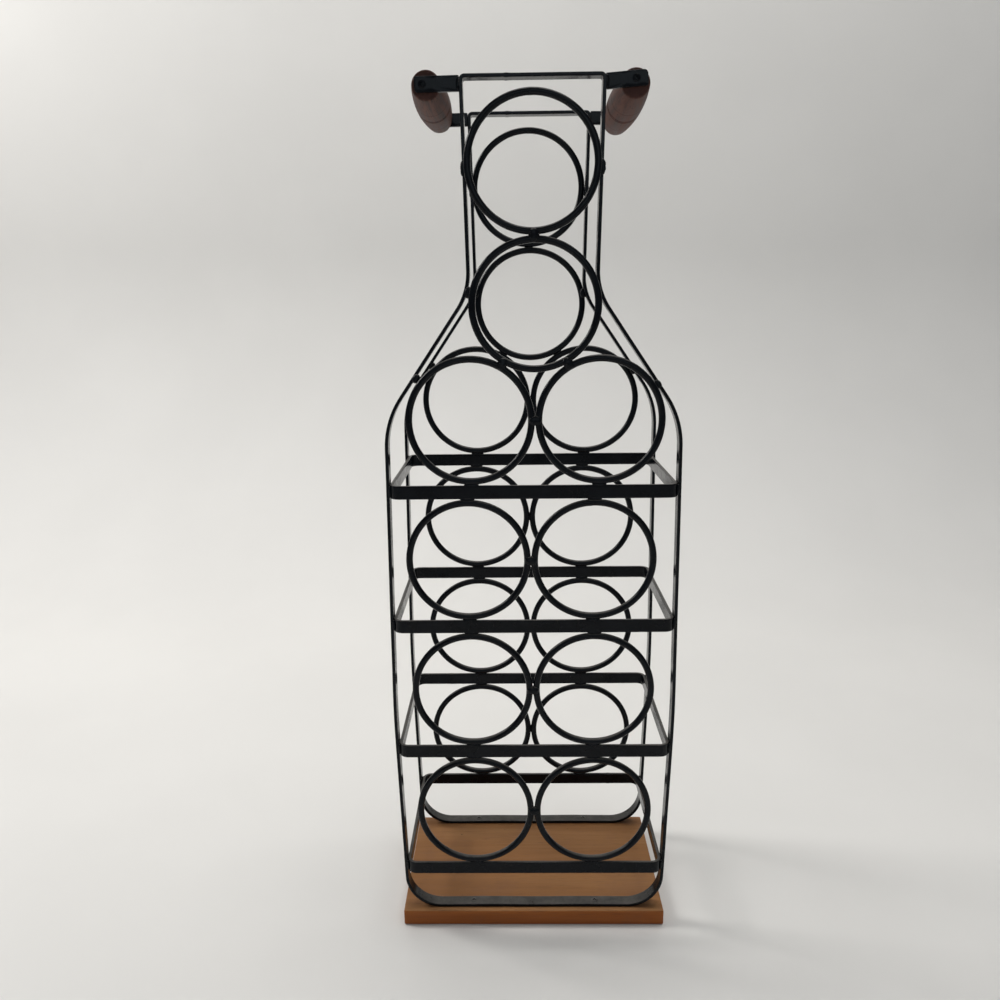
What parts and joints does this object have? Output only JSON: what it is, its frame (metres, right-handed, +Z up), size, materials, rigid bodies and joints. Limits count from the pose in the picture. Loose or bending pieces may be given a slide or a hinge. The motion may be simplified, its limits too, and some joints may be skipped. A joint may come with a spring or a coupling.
{
  "type": "wine rack",
  "caption": "Free-standing steel wine rack in the outline of a bottle: rings hold bottles lying front to back, with wooden carrying handles and a wooden base.",
  "frame": {"origin": "on the floor, under the middle of the rack", "axes": "+X to the right seen from the front, +Y from the front rings to the back rings, +Z up"},
  "size_m": [0.2846, 0.1832, 0.8495],
  "materials": {
    "black_paint": "black semi-gloss paint with faint wear",
    "painted_weld": "lumpy weld under the same black paint",
    "black_screw": "black screw head with a cross recess",
    "board_wood": "stained mid-brown board, matte top, grain along the width",
    "handle_wood": "dark reddish-brown stained turned wood, satin"
  },
  "bodies": {
    "root": {"base_board": "board_wood", "front_frame": "black_paint", "back_frame": "black_paint", "hoop_1": "black_paint", "hoop_2": "black_paint", "hoop_3": "black_paint", "hoop_4": "black_paint", "front_ring_1": "black_paint", "front_ring_2": "black_paint", "front_ring_3": "black_paint", "front_ring_4": "black_paint", "front_ring_5": "black_paint", "front_ring_6": "black_paint", "front_ring_7": "black_paint", "front_ring_8": "black_paint", "front_ring_9": "black_paint", "front_ring_10": "black_paint", "back_ring_1": "black_paint", "back_ring_2": "black_paint", "back_ring_3": "black_paint", "back_ring_4": "black_paint", "back_ring_5": "black_paint", "back_ring_6": "black_paint", "back_ring_7": "black_paint", "back_ring_8": "black_paint", "back_ring_9": "black_paint", "back_ring_10": "black_paint", "front_left_ear": "black_paint", "front_right_ear": "black_paint", "back_left_ear": "black_paint", "back_right_ear": "black_paint", "left_handle": "handle_wood", "right_handle": "handle_wood", "handle_screws": "black_screw", "base_screws": "black_screw", "ring_welds": "painted_weld", "ring_to_hoop_welds": "painted_weld", "ring_to_frame_welds": "painted_weld", "hoop_welds": "painted_weld", "ear_welds": "painted_weld"}
  },
  "joints": []
}
